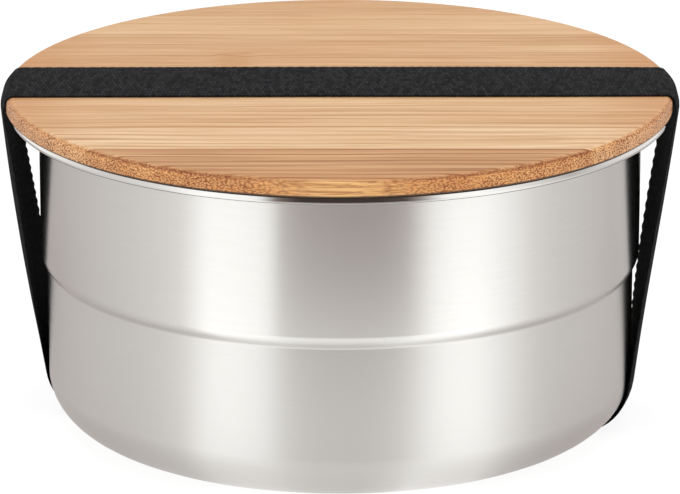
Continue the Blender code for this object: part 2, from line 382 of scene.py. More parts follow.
draw = add_node(tree, "ShaderNodeTexWhiteNoise", {"noise_dimensions": "1D"}, {"W": slat_number.outputs[0]})
slat_share = add_node(tree, "ShaderNodeMapRange", None, {
    "Value": slat_number.outputs[0], "From Min": -1.5, "From Max": len(slat_names) - 1.5,
})
slat_kind = add_node(tree, "ShaderNodeValToRGB", None, {"Fac": slat_share.outputs[0]})
slat_kind.color_ramp.interpolation = "CONSTANT"
kinds = slat_kind.color_ramp.elements
kinds.remove(kinds[1])
for number, (warmth, lines_show) in enumerate(zip(slat_warmth, slat_lines)):
    kind = kinds[0] if number == 0 else kinds.new(number / len(slat_names))
    kind.position = number / len(slat_names)
    kind.color = (*(math.exp(-warmth * pull) for pull in warm_pull), lines_show)

# Bundles wander a little on their way along the cane, and lean across its knuckle
lengthwise = add_node(tree, "ShaderNodeCombineXYZ", None, {
    "X": axes.outputs["X"], "Y": slat_number.outputs[0], "Z": axes.outputs["Z"],
})
wander_place = add_node(tree, "ShaderNodeVectorMath", times, {
    0: lengthwise.outputs[0], 1: wander_per_mm,
})
wander = add_node(tree, "ShaderNodeTexNoise", None, {
    "Vector": wander_place.outputs[0], "Scale": 1.0, "Detail": 1.0,
})
wandered = add_node(tree, "ShaderNodeVectorMath", times_plus, {
    0: wander.outputs["Color"], 1: (0.0, wander_mm, wander_mm), 2: mm.outputs[0],
})
from_knuckle = add_node(tree, "ShaderNodeMath", {"operation": "SUBTRACT"}, {
    0: axes.outputs["X"], 1: knuckle_x_mm,
})
near_knuckle = add_node(tree, "ShaderNodeMath", {"operation": "ABSOLUTE"}, {0: from_knuckle.outputs[0]})
knuckle_span = add_node(tree, "ShaderNodeMapRange", eased, {
    "Value": near_knuckle.outputs[0], "From Min": knuckle_reach_mm[0], "From Max": knuckle_reach_mm[1],
    "To Min": 1.0, "To Max": 0.0,
})
on_slat = add_node(tree, "ShaderNodeMath", {"operation": "COMPARE"}, {
    0: slat_number.outputs[0], 1: knuckle_slat, 2: 0.5,
})
knuckle = add_node(tree, "ShaderNodeMath", times, {0: knuckle_span.outputs[0], 1: on_slat.outputs[0]})
lean = add_node(tree, "ShaderNodeMath", times, {0: knuckle.outputs[0], 1: from_knuckle.outputs[0]})
leaning = add_node(tree, "ShaderNodeCombineXYZ", None, {"Y": lean.outputs[0]})
leaned = add_node(tree, "ShaderNodeVectorMath", times_plus, {
    0: leaning.outputs[0], 1: (0.0, knuckle_lean, 0.0), 2: wandered.outputs[0],
})
fibre = add_node(tree, "ShaderNodeVectorMath", times_plus, {
    0: draw.outputs["Color"], 1: (slats_apart_mm,) * 3, 2: leaned.outputs[0],
})
section = add_node(tree, "ShaderNodeSeparateXYZ", None, {0: fibre.outputs[0]})
cross = add_node(tree, "ShaderNodeCombineXYZ", None, {
    "X": section.outputs["Y"], "Y": section.outputs["Z"],
})
bundles = add_node(tree, "ShaderNodeTexVoronoi", {"voronoi_dimensions": "2D", "feature": "F1"}, {
    "Vector": cross.outputs[0], "Scale": 1 / bundle_mm, "Randomness": 0.8,
})
bundle = add_node(tree, "ShaderNodeMapRange", eased, {
    "Value": bundles.outputs["Distance"], "From Min": 0.15, "From Max": 0.46, "To Min": 1.0, "To Max": 0.0,
})

# Round the rim the cut bundles are short dots, drawn out to streaks at the front and the back, where
# the rim runs along the fibres
toward_front = add_node(tree, "ShaderNodeMath", {"operation": "ABSOLUTE"}, {0: axes.outputs["Y"]})
turned = add_node(tree, "ShaderNodeMath", {"operation": "ARCTAN2"}, {
    0: axes.outputs["X"], 1: toward_front.outputs[0],
})
arc_mm = add_node(tree, "ShaderNodeMath", times, {0: turned.outputs[0], 1: lid_radius * 1000})
front_share = add_node(tree, "ShaderNodeMath", {"operation": "DIVIDE"}, {
    0: arc_mm.outputs[0], 1: front_streak_mm,
})
front_bend = add_node(tree, "ShaderNodeMath", {"operation": "TANH"}, {0: front_share.outputs[0]})
drawn_out = add_node(tree, "ShaderNodeMath", times_plus, {
    0: front_bend.outputs[0], 1: -front_stretch * front_streak_mm, 2: arc_mm.outputs[0],
})
rim_place = add_node(tree, "ShaderNodeCombineXYZ", None, {
    "X": drawn_out.outputs[0], "Y": axes.outputs["Z"],
})
rim_cells = add_node(tree, "ShaderNodeVectorMath", {"operation": "DIVIDE"}, {
    0: rim_place.outputs[0], 1: (*rim_dot_mm, 1.0),
})
rim_bundles = add_node(tree, "ShaderNodeTexVoronoi", {"voronoi_dimensions": "2D", "feature": "F1"}, {
    "Vector": rim_cells.outputs[0], "Scale": 1.0, "Randomness": 1.0,
})
rim_bundle = add_node(tree, "ShaderNodeMapRange", eased, {
    "Value": rim_bundles.outputs["Distance"], "From Min": 0.35, "From Max": 0.55,
})
rim_patch_place = add_node(tree, "ShaderNodeVectorMath", times, {
    0: rim_place.outputs[0], 1: rim_patch_per_mm,
})
rim_patch = add_node(tree, "ShaderNodeTexNoise", {"noise_dimensions": "2D"}, {
    "Vector": rim_patch_place.outputs[0], "Scale": 1.0, "Detail": 2.0,
})
rim_speck_place = add_node(tree, "ShaderNodeVectorMath", times, {
    0: rim_place.outputs[0], 1: rim_speck_per_mm,
})
rim_speck = add_node(tree, "ShaderNodeTexNoise", {"noise_dimensions": "2D"}, {
    "Vector": rim_speck_place.outputs[0], "Scale": 1.0, "Detail": 2.0, "Roughness": 0.6,
})
dot_depth = add_node(tree, "ShaderNodeMapRange", None, {
    "Value": rim_patch.outputs["Fac"], "From Min": noise_low, "From Max": noise_high,
    "To Min": 0.66, "To Max": 1.0,
})
rim_light = add_node(tree, "ShaderNodeMapRange", None, {
    "Value": rim_speck.outputs["Fac"], "From Min": 0.3, "From Max": 0.7, "To Min": 0.82, "To Max": 1.18,
})
rim_drift = add_node(tree, "ShaderNodeMapRange", None, {
    "Value": rim_patch.outputs["Fac"], "From Min": noise_low, "From Max": noise_high,
    "To Min": 1.07, "To Max": 0.93,
})
rim_tone = add_node(tree, "ShaderNodeMath", times, {0: rim_light.outputs[0], 1: rim_drift.outputs[0]})

# Where the turned rim begins, with a frayed upper edge
facing = add_node(tree, "ShaderNodeSeparateXYZ", None, {0: coordinates.outputs["Normal"]})
level_face = add_node(tree, "ShaderNodeMath", {"operation": "ABSOLUTE"}, {0: facing.outputs["Z"]})
frayed = add_node(tree, "ShaderNodeMath", times_plus, {0: rim_speck.outputs["Fac"], 1: 0.3, 2: -0.15})
ragged = add_node(tree, "ShaderNodeMath", {"operation": "ADD"}, {
    0: level_face.outputs[0], 1: frayed.outputs[0],
})
rim = add_node(tree, "ShaderNodeMapRange", eased, {
    "Value": ragged.outputs[0], "From Min": 0.72, "From Max": 0.95, "To Min": 1.0, "To Max": 0.0,
})
end_on = add_node(tree, "ShaderNodeMath", {"operation": "ABSOLUTE"}, {0: facing.outputs["X"]})

# Dark growth lines along the top, which fade in and out along the cane
drift_place = add_node(tree, "ShaderNodeVectorMath", times, {0: fibre.outputs[0], 1: drift_per_mm})
drift = add_node(tree, "ShaderNodeTexNoise", None, {
    "Vector": drift_place.outputs[0], "Scale": 1.0, "Detail": 1.0,
})
line_drift = add_node(tree, "ShaderNodeMath", times, {0: drift.outputs["Fac"], 1: line_sway})
line_turn = add_node(tree, "ShaderNodeMath", times_plus, {
    0: section.outputs["Y"], 1: 2 * math.pi / growth_line_mm, 2: line_drift.outputs[0],
})
line_wave = add_node(tree, "ShaderNodeMath", {"operation": "SINE"}, {0: line_turn.outputs[0]})
fade_place = add_node(tree, "ShaderNodeVectorMath", times, {0: fibre.outputs[0], 1: fade_per_mm})
fade = add_node(tree, "ShaderNodeTexNoise", None, {
    "Vector": fade_place.outputs[0], "Scale": 1.0, "Detail": 1.0,
})
line_strength = add_node(tree, "ShaderNodeMapRange", None, {
    "Value": fade.outputs["Fac"], "From Min": noise_low, "From Max": noise_high,
    "To Min": 0.1, "To Max": 0.8,
})
line_shape = add_node(tree, "ShaderNodeMapRange", eased, {
    "Value": line_wave.outputs[0], "From Min": 0.1, "From Max": 1.0,
})
growth_line = add_node(tree, "ShaderNodeMath", times, {
    0: line_shape.outputs[0], 1: line_strength.outputs[0],
})

# The ground between the bundles: fine fibres and a broad drift of tone
fine_place = add_node(tree, "ShaderNodeVectorMath", times, {0: fibre.outputs[0], 1: fine_per_mm})
fine = add_node(tree, "ShaderNodeTexNoise", None, {
    "Vector": fine_place.outputs[0], "Scale": 1.0, "Detail": 3.0, "Roughness": 0.65,
})
broad_place = add_node(tree, "ShaderNodeVectorMath", times, {0: fibre.outputs[0], 1: broad_per_mm})
broad = add_node(tree, "ShaderNodeTexNoise", None, {
    "Vector": broad_place.outputs[0], "Scale": 1.0, "Detail": 2.0,
})
both_tones = add_node(tree, "ShaderNodeMath", {"operation": "ADD"}, {
    0: fine.outputs["Fac"], 1: broad.outputs["Fac"],
})
mean_tone = add_node(tree, "ShaderNodeMath", times, {0: both_tones.outputs[0], 1: 0.5})
ground = add_node(tree, "ShaderNodeValToRGB", None, {"Fac": mean_tone.outputs[0]})
ground.color_ramp.elements[0].position = 0.34
ground.color_ramp.elements[0].color = linear("#d6a26e")
ground.color_ramp.elements[1].position = 0.66
ground.color_ramp.elements[1].color = linear("#f2ca9c")
tone_share = add_node(tree, "ShaderNodeMapRange", None, {
    "Value": rim.outputs[0], "To Min": 1.0, "To Max": 0.55,
})
toned = add_node(tree, "ShaderNodeMix", {"data_type": "RGBA", "blend_type": "MULTIPLY"}, {
    0: tone_share.outputs[0], 6: ground.outputs["Color"], 7: slat_kind.outputs["Color"],
})
toward_end = add_node(tree, "ShaderNodeMath", {"operation": "ABSOLUTE"}, {0: axes.outputs["X"]})
end_warmth = add_node(tree, "ShaderNodeMapRange", eased, {
    "Value": toward_end.outputs[0], "From Min": warm_end_mm[0], "From Max": warm_end_mm[1],
    "To Min": 0.0, "To Max": 0.95,
})
warm_streak = add_node(tree, "ShaderNodeMath", times, {
    0: end_warmth.outputs[0], 1: fine.outputs["Fac"],
})
warmed = add_node(tree, "ShaderNodeMix", in_colour, {
    0: warm_streak.outputs[0], 6: toned.outputs[2], 7: linear("#d28d57"),
})
knuckle_tone = add_node(tree, "ShaderNodeMath", times, {0: knuckle.outputs[0], 1: 0.4})
knuckled = add_node(tree, "ShaderNodeMix", in_colour, {
    0: knuckle_tone.outputs[0], 6: warmed.outputs[2], 7: linear("#cf9159"),
})

# The turned rim takes more oil than the sanded faces, most of all where it cuts across the fibres
oiled = add_node(tree, "ShaderNodeMix", {"data_type": "RGBA", "blend_type": "MULTIPLY"}, {
    0: rim.outputs[0], 6: knuckled.outputs[2], 7: linear("#fde8c9"),
})
speck_tone = add_node(tree, "ShaderNodeMix", {"data_type": "FLOAT"}, {
    0: rim.outputs[0], 2: 1.0, 3: rim_tone.outputs[0],
})
specked = add_node(tree, "ShaderNodeVectorMath", {"operation": "SCALE"}, {
    0: oiled.outputs[2], "Scale": speck_tone.outputs[0],
})
side_rim = add_node(tree, "ShaderNodeMapRange", eased, {
    "Value": end_on.outputs[0], "From Min": 0.55, "From Max": 0.95, "To Min": 0.0, "To Max": 0.28,
})
pale_rim = add_node(tree, "ShaderNodeMath", times, {0: side_rim.outputs[0], 1: rim.outputs[0]})
paled = add_node(tree, "ShaderNodeMix", in_colour, {
    0: pale_rim.outputs[0], 6: specked.outputs[0], 7: linear("#f4d8b6"),
})

# At the front and the back the rim runs along the fibres: it is golden, with fine lines for dots
off_front = add_node(tree, "ShaderNodeMath", times, {
    0: front_bend.outputs[0], 1: front_bend.outputs[0],
})
near_front = add_node(tree, "ShaderNodeMath", {"operation": "SUBTRACT"}, {0: 1.0, 1: off_front.outputs[0]})
front_middle = add_node(tree, "ShaderNodeMath", times, {
    0: near_front.outputs[0], 1: near_front.outputs[0],
})
golden = add_node(tree, "ShaderNodeMath", times, {0: front_middle.outputs[0], 1: 0.75})
golden_rim = add_node(tree, "ShaderNodeMath", times, {0: golden.outputs[0], 1: rim.outputs[0]})
gilded = add_node(tree, "ShaderNodeMix", in_colour, {
    0: golden_rim.outputs[0], 6: paled.outputs[2], 7: linear("#f6c583"),
})

# Streaks on the top and dots on the rim, both over that ground
fine_streak = add_node(tree, "ShaderNodeMath", times, {0: bundle.outputs[0], 1: 0.4})
all_streaks = add_node(tree, "ShaderNodeMath", {"operation": "ADD"}, {
    0: fine_streak.outputs[0], 1: growth_line.outputs[0],
})
top_streak = add_node(tree, "ShaderNodeMath", times, {
    0: all_streaks.outputs[0], 1: slat_kind.outputs["Alpha"],
})
front_depth = add_node(tree, "ShaderNodeMapRange", None, {
    "Value": front_middle.outputs[0], "To Min": 1.0, "To Max": 0.6,
})
rim_depth = add_node(tree, "ShaderNodeMath", times, {
    0: dot_depth.outputs[0], 1: front_depth.outputs[0],
})
rim_dots = add_node(tree, "ShaderNodeMath", times, {0: rim_bundle.outputs[0], 1: rim_depth.outputs[0]})
front_lines = add_node(tree, "ShaderNodeMapRange", eased, {
    "Value": fine.outputs["Fac"], "From Min": 0.5, "From Max": 0.58, "To Min": 0.0, "To Max": 0.74,
})
rim_streak = add_node(tree, "ShaderNodeMix", {"data_type": "FLOAT"}, {
    0: front_middle.outputs[0], 2: rim_dots.outputs[0], 3: front_lines.outputs[0],
})
streak_amount = add_node(tree, "ShaderNodeMix", {"data_type": "FLOAT"}, {
    0: rim.outputs[0], 2: top_streak.outputs[0], 3: rim_streak.outputs[0],
})
top_streak_colour = add_node(tree, "ShaderNodeMix", {"data_type": "RGBA", "blend_type": "MULTIPLY"}, {
    0: 1.0, 6: linear("#b0753f"), 7: slat_kind.outputs["Color"],
})
streak_colour = add_node(tree, "ShaderNodeMix", in_colour, {
    0: rim.outputs[0], 6: top_streak_colour.outputs[2], 7: linear("#8c4b1d"),
})
streaked = add_node(tree, "ShaderNodeMix", in_colour, {
    0: streak_amount.outputs[0], 6: gilded.outputs[2], 7: streak_colour.outputs[2],
})

# A dark, broken arris where the rim begins, most of all on the front slat, and a painted shadow
# along the lower edge, where the lid sits on the flange
arris = add_node(tree, "ShaderNodeMapRange", eased, {
    "Value": ragged.outputs[0], "From Min": 0.3, "From Max": 0.72,
})
arris_line = add_node(tree, "ShaderNodeMath", times, {0: arris.outputs[0], 1: rim.outputs[0]})
arris_round = add_node(tree, "ShaderNodeMath", times, {
    0: arris_line.outputs[0], 1: off_front.outputs[0],
})
arris_share = add_node(tree, "ShaderNodeMapRange", None, {
    "Value": rim_speck.outputs["Fac"], "From Min": 0.35, "From Max": 0.6,
    "To Min": 0.3, "To Max": 0.9,
})
arris_side = add_node(tree, "ShaderNodeMapRange", None, {
    "Value": slat_number.outputs[0], "From Min": 0.0, "From Max": 1.0, "To Min": 1.0, "To Max": 0.18,
})
arris_cut = add_node(tree, "ShaderNodeMath", times, {
    0: arris_round.outputs[0], 1: arris_side.outputs[0],
})
arris_amount = add_node(tree, "ShaderNodeMath", times, {
    0: arris_cut.outputs[0], 1: arris_share.outputs[0],
})
edged = add_node(tree, "ShaderNodeMix", in_colour, {
    0: arris_amount.outputs[0], 6: streaked.outputs[2], 7: linear("#7a3a12"),
})
# Painted shadow: the rim's colour is darkened just above the lid's underside
painted_seam_shadow = add_node(tree, "ShaderNodeMapRange", eased, {
    "Value": axes.outputs["Z"], "From Min": lid_under * 1000 + painted_seam_shadow_mm[0],
    "From Max": lid_under * 1000 + painted_seam_shadow_mm[1], "To Min": 0.12, "To Max": 1.0,
})
shaded = add_node(tree, "ShaderNodeVectorMath", {"operation": "SCALE"}, {
    0: edged.outputs[2], "Scale": painted_seam_shadow.outputs[0],
})
tree.links.new(shaded.outputs[0], shader.inputs["Base Color"])
relief = add_node(tree, "ShaderNodeBump", None, {
    "Strength": 0.3, "Distance": 0.00006, "Height": fine.outputs["Fac"],
})
tree.links.new(relief.outputs["Normal"], shader.inputs["Normal"])
shader.inputs["Roughness"].default_value = 0.52
shader.inputs["IOR"].default_value = 1.45
lid.data.materials.append(bamboo)
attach(lid, "lid")
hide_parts(*slat_names)

# Seal
# A soft ring of milky silicone, moulded in one piece and pressed into the plug's groove. Its rounded
# lip stands out from the plug and rubs on the bowl's wall.
seal_low, seal_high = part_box("lid_seal")
seal_clearance = 0.0003
seal_root = plug_radius - groove_depth + seal_clearance
seal_lip = seal_high[0]
seal_middle = (seal_low[2] + seal_high[2]) / 2
seal_half = (seal_high[2] - seal_low[2]) / 2
root_round = 0.0002
neck_round = 0.0003
lip_round = 0.0005
seal = pull_outline("seal_ring", [
    (seal_root, seal_middle, 0),
    (seal_root, seal_middle + seal_half, root_round),
    (plug_radius, seal_middle + seal_half, neck_round),
    (seal_lip, seal_middle + seal_half / 2, lip_round),
    (seal_lip, seal_middle - seal_half / 2, lip_round),
    (plug_radius, seal_middle - seal_half, neck_round),
    (seal_root, seal_middle - seal_half, root_round),
    (seal_root, seal_middle, 0),
])
turn_outline(seal, steps=160)

# Milky silicone: soft and half clear, so light sinks in a little. Dust makes its sheen patchy.
silicone, tree, shader = new_finish("milky_silicone")
dust_per_m = 600.0
dust = add_node(tree, "ShaderNodeTexNoise", None, {
    "Vector": add_node(tree, "ShaderNodeTexCoord").outputs["Object"], "Scale": dust_per_m, "Detail": 2.0,
})
haze = add_node(tree, "ShaderNodeMapRange", None, {
    "Value": dust.outputs["Fac"], "To Min": 0.45, "To Max": 0.65,
})
tree.links.new(haze.outputs["Result"], shader.inputs["Roughness"])
shader.inputs["Base Color"].default_value = linear("#d9d8d3")
shader.inputs["IOR"].default_value = 1.41
shader.inputs["Subsurface Weight"].default_value = 0.2
shader.inputs["Subsurface Radius"].default_value = (0.002, 0.002, 0.002)
seal.data.materials.append(silicone)
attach(seal, "lid")
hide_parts("lid_seal")

# Band
# One strip of black woven elastic pulled tight round lid and bowl. It hugs both round shapes, cups a
# little on its free side runs, has crept sideways at the foot and has loops of yarn along its back edge.
band_width = 0.0284
band_thickness = 0.0007
edge_thickness = 0.00028
top_clearance = 0.0001
rim_clearance = 0.0007
edge_clearance = 0.00004
foot_clearance = 0.0005
seam_gap = 0.00004
along_steps = 1200
across_steps = 16

# How far the strip lies off the middle of the box: on top, over the rim and down to the foot
top_shift = 0.0004
top_slant = 0.0007
top_spread = 0.0009
right_neck = 0.0012
neck_start = 0.03
rim_fall = 0.006
left_creep = 0.0105
right_creep = -0.003
right_foot_creep = -0.0054
foot_swing = 8              # the higher, the nearer the foot the right side swings over

# How its back half hugs the box and thins, and how its free runs cup, bulge and tuck in
left_hug = 2.0
right_hug = 1.3
back_thinning = 0.3         # shares of the half width at which the strip starts to thin
front_thinning = 0.6
left_cupping = 0.001
right_cupping = 0.0003
cup_bend = 1.6
cup_place = 0.8             # below 1 the cup is deepest nearer the rim, above 1 nearer the foot
left_bulge = 0.0005
right_bulge = -0.00035
bulge_place = 1.8
right_tuck = 0.00085
least_tuck = 0.2
tuck_fall = 0.003
foot_rise = 0.02

# The loops of yarn along its back edge
loop_pitch = 0.0028
loop_reach = 0.00028
loop_root = 0.43            # as a share of the width from the middle
loop_sway = 3.0
loop_sways_per_m = 90.0
pressed_loops = 0.25


def tight_wrap(thickness, rim_gap):
    """The right half of a strip's middle pulled tight round the box, top to bottom, in section."""
    faces = 24
    rounds = [
        (lid_radius - lid_round, lid_top - lid_round, lid_round + top_clearance),
        (lid_radius - under_round, lid_under + under_round, under_round + rim_gap),
        (lower_radius - corner_round, bowl_base + corner_round, corner_round + foot_clearance),
    ]
    points = []
    for x, z, radius in rounds:
        reach = radius + thickness / 2
        for step in range(faces + 1):
            angle = math.pi / 2 - math.pi * step / faces
            points.append(Vector((x + reach * math.cos(angle), z + reach * math.sin(angle))))
    points.sort(key=lambda point: (-point.y, point.x))
    hull = []
    for point in points:
        while len(hull) > 1 and (hull[-1] - hull[-2]).cross(point - hull[-1]) > -1e-12:
            hull.pop()
        hull.append(point)
    return hull


def full_route(half):
    """A whole loop in section from its right half, and the length along it at each corner."""
    foot = Vector((0.0, half[-1].y))
    route = [foot] + [Vector((-point.x, point.y)) for point in reversed(half)] + half + [foot]
    lengths = [0.0]
    for here, there in zip(route, route[1:]):
        lengths.append(lengths[-1] + (there - here).length)
    return route, lengths


def place_on_route(route, lengths, share):
    """The place in section at a share of the way along the strip, and the way out from the box."""
    distance = share * lengths[-1]
    last = len(lengths) - 1
    index = next(i for i in range(1, last + 1) if lengths[i] >= distance or i == last)
    part = (distance - lengths[index - 1]) / (lengths[index] - lengths[index - 1])
    ahead = (route[index] - route[index - 1]).normalized()
    return route[index - 1].lerp(route[index], part), Vector((-ahead.y, ahead.x))


def part_way(value, start, end):
    """How far a value has come from a start to an end, held between 0 and 1."""
    return min(max((value - start) / (end - start), 0.0), 1.0)


half = tight_wrap(band_thickness, rim_clearance)
side_top, side_foot = max(zip(half, half[1:]), key=lambda run: (run[1] - run[0]).length)
middle_route = full_route(half)
edge_route = full_route(tight_wrap(edge_thickness, edge_clearance))
strip_length = middle_route[1][-1]
bpy.ops.object.select_all(action="DESELECT")
bpy.ops.mesh.primitive_grid_add(x_subdivisions=along_steps, y_subdivisions=across_steps, size=1)
band = bpy.context.object
band.name = "elastic_band"
thickness_share = band.vertex_groups.new(name="thickness")
for vert in band.data.vertices:
    distance = seam_gap + (vert.co.x + 0.5) * (strip_length - 2 * seam_gap)
    across = vert.co.y
    place, out = place_on_route(*middle_route, distance / strip_length)
    hugging, _ = place_on_route(*edge_route, distance / strip_length)
    toward_back = max(0.0, 2 * across)
    place = place.lerp(hugging, toward_back ** (right_hug if place.x > 0 else left_hug))
    on_left = place.x < 0

    # The strip thins towards its edges, from nearer the middle on its back half
    thinning = part_way(abs(2 * across), back_thinning if across > 0 else front_thinning, 1.0)
    thickness_share.add([vert.index], 1 - thinning * (1 - edge_thickness / band_thickness), "REPLACE")

    # Where it lies across the box: spread and slanted on top, crept sideways towards the foot
    down = part_way(place.y, side_top.y, side_foot.y)
    over_rim = part_way(place.y, lid_top, lid_top - rim_fall)
    spread = (top_spread - right_neck * part_way(place.x, neck_start, side_top.x) ** 2) * (1 - over_rim)
    if place.y < side_foot.y:
        shift = right_foot_creep
        shift += part_way(place.x, side_foot.x, -side_foot.x) * (left_creep - right_foot_creep)
    elif on_left:
        shift = down * left_creep
    else:
        shift = (over_rim + down) / 2 * right_creep
        shift += down ** foot_swing * (right_foot_creep - right_creep)
    slant = top_slant * part_way(place.x, -side_top.x, 0.0)
    y = across * (band_width + spread) + (1 - over_rim) * (top_shift + slant) + shift

    # The free side runs cup and bulge, and the back edge on the right tucks in towards the bowl
    reach = side_top.x + down * (side_foot.x - side_top.x)
    slack = math.sin(math.pi * down ** cup_place)
    lifted = part_way(place.y, bowl_base, bowl_base + foot_rise)
    cup = (left_cupping if on_left else right_cupping) * slack * (1 - cup_bend * (2 * across) ** 2)
    cup += (left_bulge if on_left else right_bulge) * math.sin(math.pi * down ** bulge_place)
    tuck = 0.0 if on_left else right_tuck * (least_tuck + (1 - least_tuck) * slack) * toward_back ** 2
    tuck *= part_way(place.y, lid_top, lid_top - tuck_fall) * lifted
    x = place.x * math.sqrt(1 - (y / reach) ** 2) + math.copysign(1.0, place.x) * (cup - tuck)

    # Loops of yarn stand out along the back edge where nothing presses on them
    sway = loop_sway * math.sin(distance * loop_sways_per_m)
    loops = 0.5 + 0.5 * math.sin(2 * math.pi * distance / loop_pitch + sway)
    free = lifted * (pressed_loops if down == 0.0 else 1.0)
    stand_out = part_way(across, loop_root, 0.5) * free * loops * loop_reach
    vert.co = (x + out.x * stand_out, y, place.y + out.y * stand_out)
bpy.ops.object.mode_set(mode="EDIT")
bpy.ops.mesh.select_all(action="SELECT")
bpy.ops.mesh.normals_make_consistent(inside=False)
bpy.ops.object.mode_set(mode="OBJECT")
thick = band.modifiers.new("thickness", "SOLIDIFY")
thick.thickness = band_thickness
thick.offset = 0.0
thick.vertex_group = thickness_share.name
bpy.ops.object.modifier_apply(modifier=thick.name)
soft = band.modifiers.new("soft_edges", "BEVEL")
soft.width = 0.00012
soft.segments = 3
soft.limit_method = "ANGLE"
soft.angle_limit = math.radians(50)
bpy.ops.object.modifier_apply(modifier=soft.name)
bpy.ops.object.shade_smooth_by_angle(angle=math.radians(60))

# Black woven elastic: short floats of yarn over lengthwise rubber cords, matt, with dark gaps between
# the yarns and a tighter, darker selvedge along each edge. The side runs, which face sideways, are
# darkened with painted shade. The floats are drawn about twice as long as real ones, so they show.
elastic, tree, shader = new_finish("black_woven_elastic")
float_mm = 1.0
cord_mm = 2.2
fuzz_mm = (0.4, 0.3, 0.0)
selvedge_share = (0.47, 0.49)
coordinates = add_node(tree, "ShaderNodeTexCoord")
strip_uv = coordinates.outputs["UV"]
mm = add_node(tree, "ShaderNodeVectorMath", times, {
    0: strip_uv, 1: (strip_length * 1000, band_width * 1000, 0.0),
})
fuzz = add_node(tree, "ShaderNodeTexNoise", {"noise_dimensions": "2D"}, {
    "Vector": mm.outputs[0], "Scale": 1.6, "Detail": 3.0, "Roughness": 0.7,
})
uneven = add_node(tree, "ShaderNodeVectorMath", times_plus, {
    0: fuzz.outputs["Color"], 1: fuzz_mm, 2: mm.outputs[0],
})
yarns = add_node(tree, "ShaderNodeTexBrick", {"offset": 0.5}, {
    "Vector": uneven.outputs[0], "Scale": 1.0, "Mortar Size": 0.16, "Mortar Smooth": 0.9,
    "Brick Width": float_mm, "Row Height": cord_mm,
    "Color1": linear("#302f31"), "Color2": linear("#161517"), "Mortar": linear("#0a0a0b"),
})
strip_axes = add_node(tree, "ShaderNodeSeparateXYZ", None, {0: strip_uv})
from_middle = add_node(tree, "ShaderNodeMath", {"operation": "SUBTRACT"}, {
    0: strip_axes.outputs["Y"], 1: 0.5,
})
to_edge = add_node(tree, "ShaderNodeMath", {"operation": "ABSOLUTE"}, {0: from_middle.outputs[0]})
selvedge = add_node(tree, "ShaderNodeMapRange", eased, {
    "Value": to_edge.outputs[0], "From Min": selvedge_share[0], "From Max": selvedge_share[1],
    "To Min": 1.0, "To Max": 0.5,
})
# Painted shade: where the strip faces sideways its colour is darkened to half
facing = add_node(tree, "ShaderNodeSeparateXYZ", None, {0: coordinates.outputs["Normal"]})
side_on = add_node(tree, "ShaderNodeMath", {"operation": "ABSOLUTE"}, {0: facing.outputs["X"]})
side_run_painted_shade = add_node(tree, "ShaderNodeMapRange", eased, {
    "Value": side_on.outputs[0], "From Min": 0.5, "From Max": 0.95, "To Min": 1.0, "To Max": 0.5,
})
selvedge_and_painted_shade = add_node(tree, "ShaderNodeMath", times, {0: selvedge.outputs[0], 1: side_run_painted_shade.outputs[0]})
shade = add_node(tree, "ShaderNodeVectorMath", {"operation": "SCALE"}, {
    0: yarns.outputs["Color"], "Scale": selvedge_and_painted_shade.outputs[0],
})
tree.links.new(shade.outputs[0], shader.inputs["Base Color"])
relief = add_node(tree, "ShaderNodeBump", {"invert": True}, {
    "Strength": 0.6, "Distance": 0.00015, "Height": yarns.outputs["Fac"],
})
tree.links.new(relief.outputs["Normal"], shader.inputs["Normal"])
shader.inputs["Roughness"].default_value = 0.85
shader.inputs["Specular IOR Level"].default_value = 0.08
band.data.materials.append(elastic)
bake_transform(band)
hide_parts("band_top", "band_left", "band_right")

# Seam
# The strip's two ends are butted under the base and joined by a zigzag of black polyester thread, sewn
# from one edge of the strip to the other.
thread_radius = 0.00016
zigzag_reach = 0.0022
zigzag_pitch = 0.0024
seam_margin = 0.0015
seam_creep = (left_creep + right_foot_creep) / 2
zigzags = int((band_width - 2 * seam_margin) / zigzag_pitch)
bpy.ops.object.select_all(action="DESELECT")
bpy.ops.mesh.primitive_plane_add(size=0.001)
thread = bpy.context.object
thread.name = "seam_thread"
bpy.ops.object.mode_set(mode="EDIT")
bpy.ops.mesh.merge(type="CENTER")
bpy.ops.transform.translate(value=(
    -zigzag_reach, seam_creep - zigzags * zigzag_pitch / 2, cad_low[2] + thread_radius,
))
for turn in range(zigzags):
    side = 2 * zigzag_reach if turn % 2 == 0 else -2 * zigzag_reach
    bpy.ops.mesh.extrude_region_move(TRANSFORM_OT_translate={"value": (side, zigzag_pitch, 0)})
bpy.ops.object.mode_set(mode="OBJECT")
bpy.ops.object.convert(target="CURVE")
thread.data.bevel_depth = thread_radius
thread.data.bevel_resolution = 3
thread.data.use_fill_caps = True
bpy.ops.object.convert(target="MESH")
bpy.ops.object.shade_smooth()

# Black polyester thread: smooth and twisted, so it shines a little in places
polyester, tree, shader = new_finish("black_polyester_thread")
twists_per_m = 3000.0
twist = add_node(tree, "ShaderNodeTexNoise", None, {
    "Vector": add_node(tree, "ShaderNodeTexCoord").outputs["Object"], "Scale": twists_per_m, "Detail": 2.0,
})
lustre = add_node(tree, "ShaderNodeMapRange", None, {
    "Value": twist.outputs["Fac"], "To Min": 0.4, "To Max": 0.7,
})
tree.links.new(lustre.outputs["Result"], shader.inputs["Roughness"])
shader.inputs["Base Color"].default_value = linear("#1d1c1e")
thread.data.materials.append(polyester)
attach(thread, "band")

# Studio
# A white floor that runs out of sight, two soft boxes at the front and a broad light overhead. The
# floor glows a little where the lens or the metal sees it, so it stays white and keeps its shadow.
floor_width = 6.0
floor_share = 0.75
floor_glow = 1.17
bpy.ops.object.select_all(action="DESELECT")
bpy.ops.mesh.primitive_plane_add(size=floor_width)
floor = bpy.context.object
floor.name = "floor"
floor.location.z = cad_low[2]
white_floor, tree, shader = new_finish("white_floor")
shader.inputs["Base Color"].default_value = linear("#f3f3f3")
shader.inputs["Roughness"].default_value = 0.9
shader.inputs["Specular IOR Level"].default_value = 0.0


